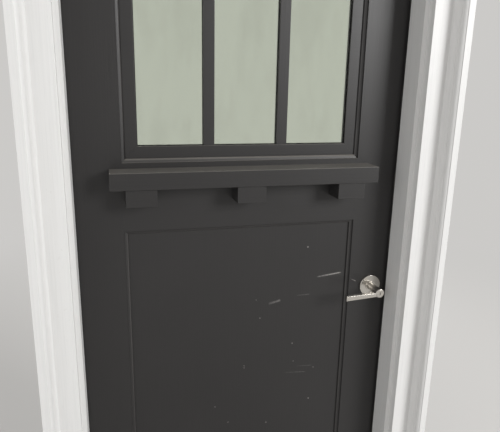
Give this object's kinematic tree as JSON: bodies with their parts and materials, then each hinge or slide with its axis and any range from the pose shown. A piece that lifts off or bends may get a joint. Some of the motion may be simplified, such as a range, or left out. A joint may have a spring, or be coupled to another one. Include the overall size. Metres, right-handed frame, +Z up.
{
  "type": "part-glazed entry door with its frame",
  "caption": "Wooden entry door with a glazed top, a block-carried shelf and a long plain panel, hinged in its frame with casing, sill, latch and levers.",
  "frame": {"origin": "on the ground under the sill, midway between the side jambs, in the plane of the leaf's outside face", "axes": "+X to the right as the door is seen from outside, +Y inwards through the doorway, +Z up"},
  "size_m": [1.0968, 0.2691, 2.1672],
  "materials": {
    "door_paint": "smooth dark paint with a soft sheen",
    "frame_paint": "white satin paint",
    "seal": "soft black seal",
    "sill_wood": "oiled oak",
    "sill_metal": "plain ribbed aluminium",
    "glass": "clear",
    "spacer": "black coated",
    "lever_metal": "satin nickel",
    "hinge_metal": "satin nickel",
    "latch_metal": "satin nickel"
  },
  "bodies": {
    "frame": {"hinge_jamb": "frame_paint", "latch_jamb": "frame_paint", "head_jamb": "frame_paint", "casing_board_left": "frame_paint", "casing_board_right": "frame_paint", "casing_board_head": "frame_paint", "casing_band_left": "frame_paint", "casing_band_right": "frame_paint", "casing_band_head": "frame_paint", "weatherstrip_left": "seal", "weatherstrip_right": "seal", "weatherstrip_head": "seal", "sill_base": "sill_wood", "sill_deck": "sill_metal", "sill_cap": "sill_wood", "strike_plate": "latch_metal", "strike_screws": "latch_metal", "hinge_jamb_screws": "hinge_metal", "hinge_jamb_plate_bottom": "hinge_metal", "hinge_jamb_plate_middle": "hinge_metal", "hinge_jamb_plate_top": "hinge_metal", "hinge_pin_bottom": "hinge_metal", "hinge_pin_middle": "hinge_metal", "hinge_pin_top": "hinge_metal"},
    "leaf": {"hinge_stile": "door_paint", "latch_stile": "door_paint", "bottom_rail": "door_paint", "mid_rail": "door_paint", "top_rail": "door_paint", "panel": "door_paint", "glazing_frame_outside": "door_paint", "glazing_frame_inside": "door_paint", "glazing_bars_outside": "door_paint", "glazing_bars_inside": "door_paint", "shelf": "door_paint", "shelf_block_left": "door_paint", "shelf_block_middle": "door_paint", "shelf_block_right": "door_paint", "glass_outside": "glass", "glass_inside": "glass", "glass_spacer": "spacer", "door_sweep": "seal", "hinge_leaf_screws": "hinge_metal", "latch_case": "latch_metal", "latch_faceplate": "latch_metal", "faceplate_screws": "latch_metal", "rose_outside": "lever_metal", "rose_inside": "lever_metal", "rose_screws": "latch_metal", "hinge_leaf_plate_bottom": "hinge_metal", "hinge_leaf_plate_middle": "hinge_metal", "hinge_leaf_plate_top": "hinge_metal"},
    "handle": {"lever_outside": "lever_metal", "lever_inside": "lever_metal", "spindle": "latch_metal"},
    "latch_bolt": {"latch_bolt": "latch_metal"},
    "lock_core": {"key_plug": "lever_metal", "turn_button": "lever_metal"}
  },
  "joints": [
    {"name": "door_swing", "type": "hinge", "parent": "frame", "child": "leaf", "pos_m": [-0.4588, 0.0515, 1], "axis": [0, 0, 1], "range_deg": [0, 110]},
    {"name": "lever_turn", "type": "hinge", "parent": "leaf", "child": "handle", "pos_m": [0.3969, 0.02225, 0.956], "axis": [0, -1, 0], "range_deg": [0, 50], "stiffness_Nm_per_rad": 1.2, "springref_deg": -28.65},
    {"name": "latch_slide", "type": "slide", "parent": "leaf", "child": "latch_bolt", "axis": [-1, 0, 0], "range_m": [0, 0.0127]},
    {"name": "lock_turn", "type": "hinge", "parent": "handle", "child": "lock_core", "pos_m": [0.3969, 0.02225, 0.956], "axis": [0, -1, 0], "range_deg": [0, 90]}
  ],
  "couplings": [
    {"joint": "latch_slide", "follows": "lever_turn", "m_per_rad": 0.01455}
  ]
}
